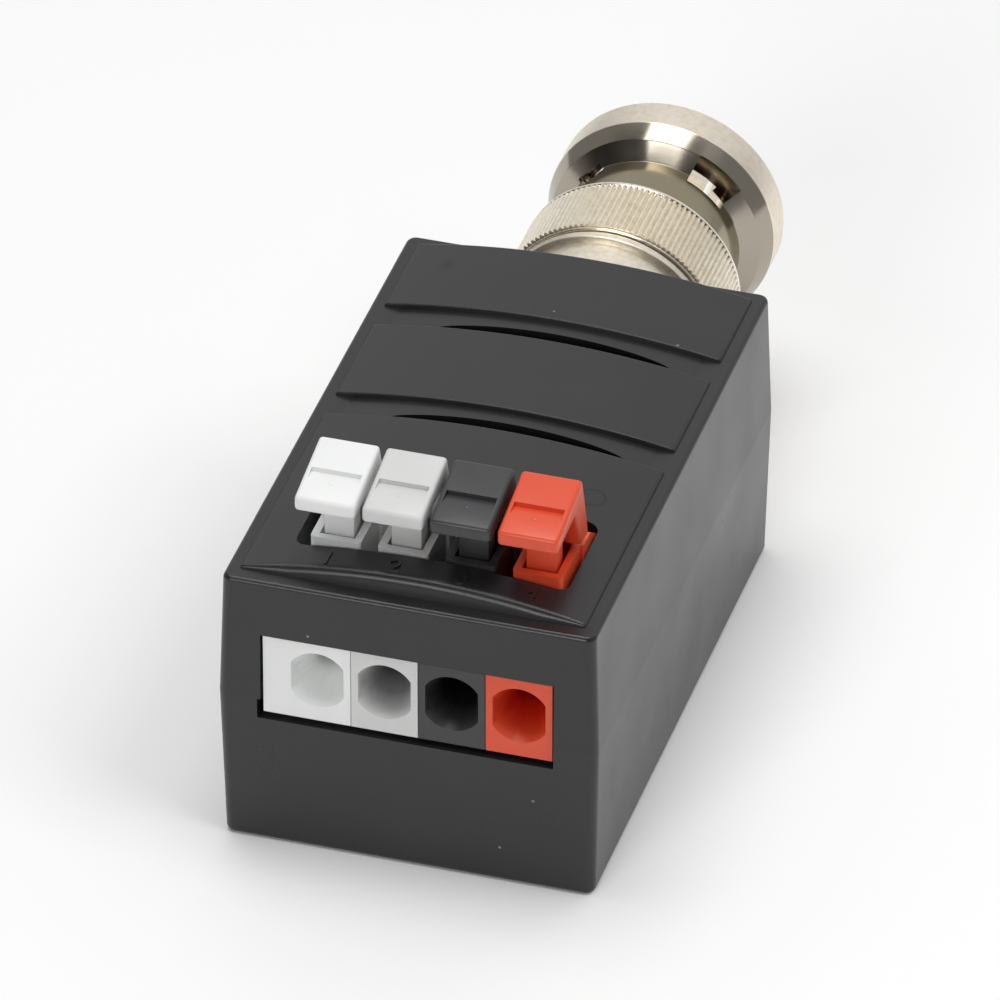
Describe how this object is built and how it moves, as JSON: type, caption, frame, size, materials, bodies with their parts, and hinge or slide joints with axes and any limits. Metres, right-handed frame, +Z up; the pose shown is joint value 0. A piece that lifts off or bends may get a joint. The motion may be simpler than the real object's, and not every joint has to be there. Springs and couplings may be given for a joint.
{
  "type": "video balun",
  "caption": "Black box with push-lever wire terminals at one end and a nickel-plated bayonet coaxial plug at the other.",
  "frame": {"origin": "centre of the box's underside", "axes": "+Z up, +Y towards the coaxial plug, wire entries face -Y"},
  "size_m": [0.0226, 0.0544, 0.0241],
  "materials": {
    "case": "moulded, fine grain",
    "module_white": "moulded",
    "module_grey": "moulded",
    "module_black": "moulded",
    "module_red": "moulded",
    "nickel_plate": "bright nickel plate on turned brass",
    "contact_plate": "tinned",
    "spring_steel": "rolled",
    "insulator": "turned, waxy white",
    "gasket": "soft",
    "board": "glass fibre board, green",
    "ferrite": "pressed and sintered",
    "copper_wire": "enamelled",
    "chip_body": "moulded"
  },
  "bodies": {
    "housing": {"top_shell": "case", "bottom_shell": "case", "circuit_board": "board", "terminal_body_white": "module_white", "contact_white": "contact_plate", "clamp_spring_white": "spring_steel", "terminal_body_grey": "module_grey", "contact_grey": "contact_plate", "clamp_spring_grey": "spring_steel", "terminal_body_black": "module_black", "contact_black": "contact_plate", "clamp_spring_black": "spring_steel", "terminal_body_red": "module_red", "contact_red": "contact_plate", "clamp_spring_red": "spring_steel", "plug_body": "nickel_plate", "plug_collar": "nickel_plate", "contact_sleeve": "nickel_plate", "insulator": "insulator", "centre_pin": "contact_plate", "gasket": "gasket", "wave_washer": "spring_steel", "transformer_core": "ferrite", "transformer_winding": "copper_wire", "surge_suppressor_1": "chip_body", "surge_suppressor_2": "chip_body", "chip_resistor": "chip_body", "chip_capacitor": "chip_body"},
    "lever_white": {"lever_white": "module_white"},
    "lever_grey": {"lever_grey": "module_grey"},
    "lever_black": {"lever_black": "module_black"},
    "lever_red": {"lever_red": "module_red"},
    "nut_seat": {"thrust_washer": "nickel_plate"},
    "coupling_nut": {"coupling_nut": "nickel_plate"}
  },
  "joints": [
    {"name": "lever_white_press", "type": "hinge", "parent": "housing", "child": "lever_white", "pos_m": [-0.00537, -0.0098, 0.0176], "axis": [1, 0, 0], "range_deg": [0, 9], "stiffness_Nm_per_rad": 0.05, "springref_deg": -2.86, "deforming": ["clamp_spring_white"]},
    {"name": "lever_grey_press", "type": "hinge", "parent": "housing", "child": "lever_grey", "pos_m": [-0.00137, -0.0098, 0.0176], "axis": [1, 0, 0], "range_deg": [0, 9], "stiffness_Nm_per_rad": 0.05, "springref_deg": -2.86, "deforming": ["clamp_spring_grey"]},
    {"name": "lever_black_press", "type": "hinge", "parent": "housing", "child": "lever_black", "pos_m": [0.00263, -0.0098, 0.0176], "axis": [1, 0, 0], "range_deg": [0, 9], "stiffness_Nm_per_rad": 0.05, "springref_deg": -2.86, "deforming": ["clamp_spring_black"]},
    {"name": "lever_red_press", "type": "hinge", "parent": "housing", "child": "lever_red", "pos_m": [0.00662, -0.0098, 0.0176], "axis": [1, 0, 0], "range_deg": [0, 9], "stiffness_Nm_per_rad": 0.05, "springref_deg": -2.86, "deforming": ["clamp_spring_red"]},
    {"name": "nut_pull", "type": "slide", "parent": "housing", "child": "nut_seat", "axis": [0, 1, 0], "range_m": [0, 0.0009], "stiffness_N_per_m": 6000, "springref_m": -0.0003, "deforming": ["wave_washer"]},
    {"name": "nut_turn", "type": "hinge", "parent": "nut_seat", "child": "coupling_nut", "pos_m": [0, 0.0265, 0.0112], "axis": [0, 1, 0], "continuous": true}
  ]
}
